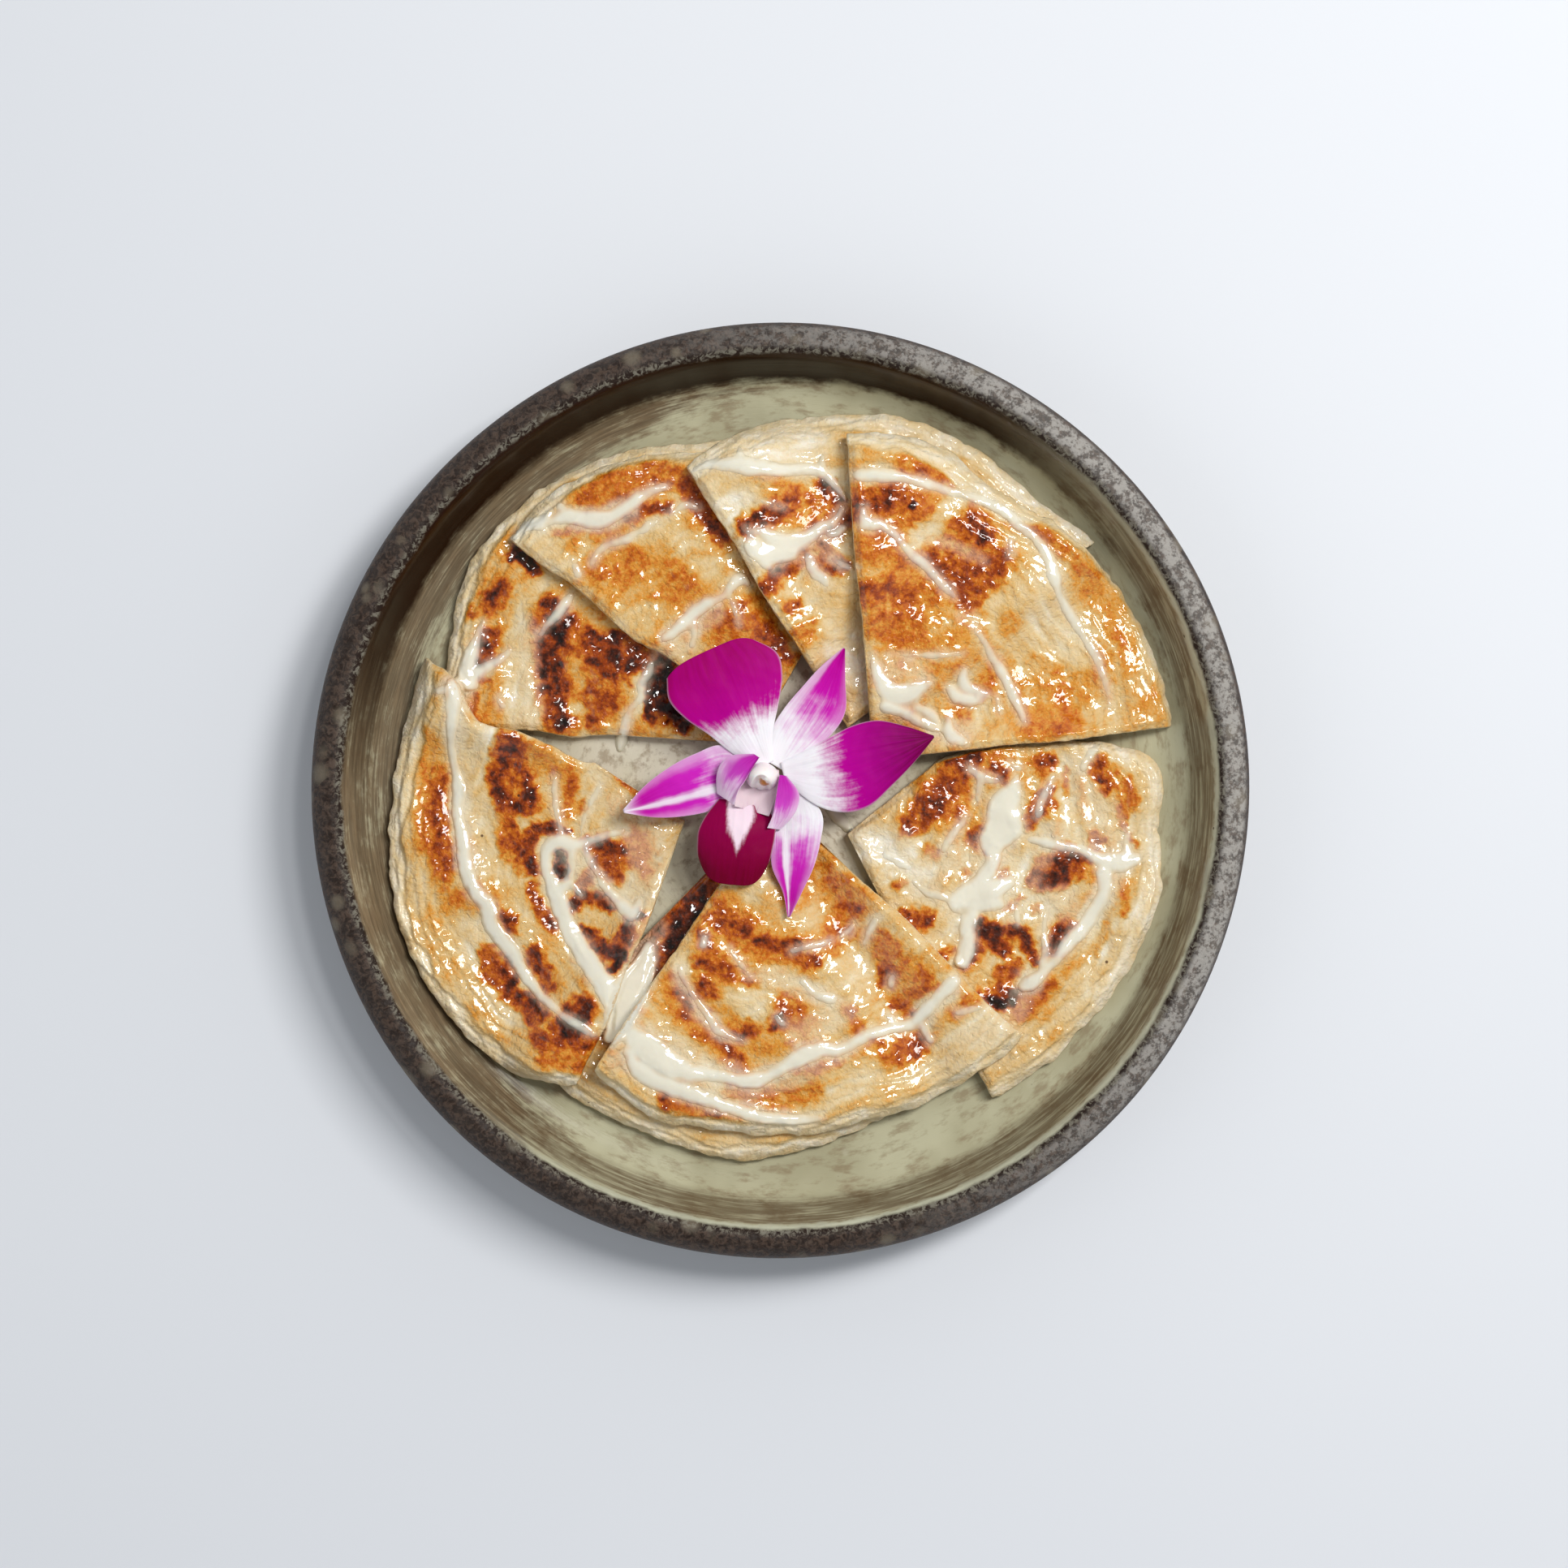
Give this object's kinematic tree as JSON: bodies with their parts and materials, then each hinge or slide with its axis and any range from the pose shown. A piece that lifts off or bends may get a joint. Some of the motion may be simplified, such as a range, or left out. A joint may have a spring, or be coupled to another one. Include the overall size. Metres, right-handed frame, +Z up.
{
  "type": "cut sweet roti on a plate",
  "caption": "Flaky pan-fried flatbread quarters fanned over a low round stoneware plate, striped with thick sweet milk, with an orchid on the middle.",
  "frame": {"origin": "centre of the plate's foot, on the surface it stands on", "axes": "+Z up; +Y towards the side of the plate shown at the top of the picture, +X towards its right"},
  "size_m": [0.23, 0.23, 0.0279],
  "materials": {
    "stoneware": "glossy celadon glaze over a dark speckled rim",
    "roti": "pan-browned flaky dough, oily, with glossy sweet milk stripes",
    "petal": "velvety magenta petals, white towards the middle"
  },
  "bodies": {
    "root": {"plate": "stoneware", "roti_south_under": "roti", "roti_east": "roti", "roti_west": "roti", "roti_north_west": "roti", "roti_south_west": "roti", "roti_north": "roti", "roti_south": "roti", "roti_north_east": "roti", "orchid": "petal"}
  },
  "joints": []
}
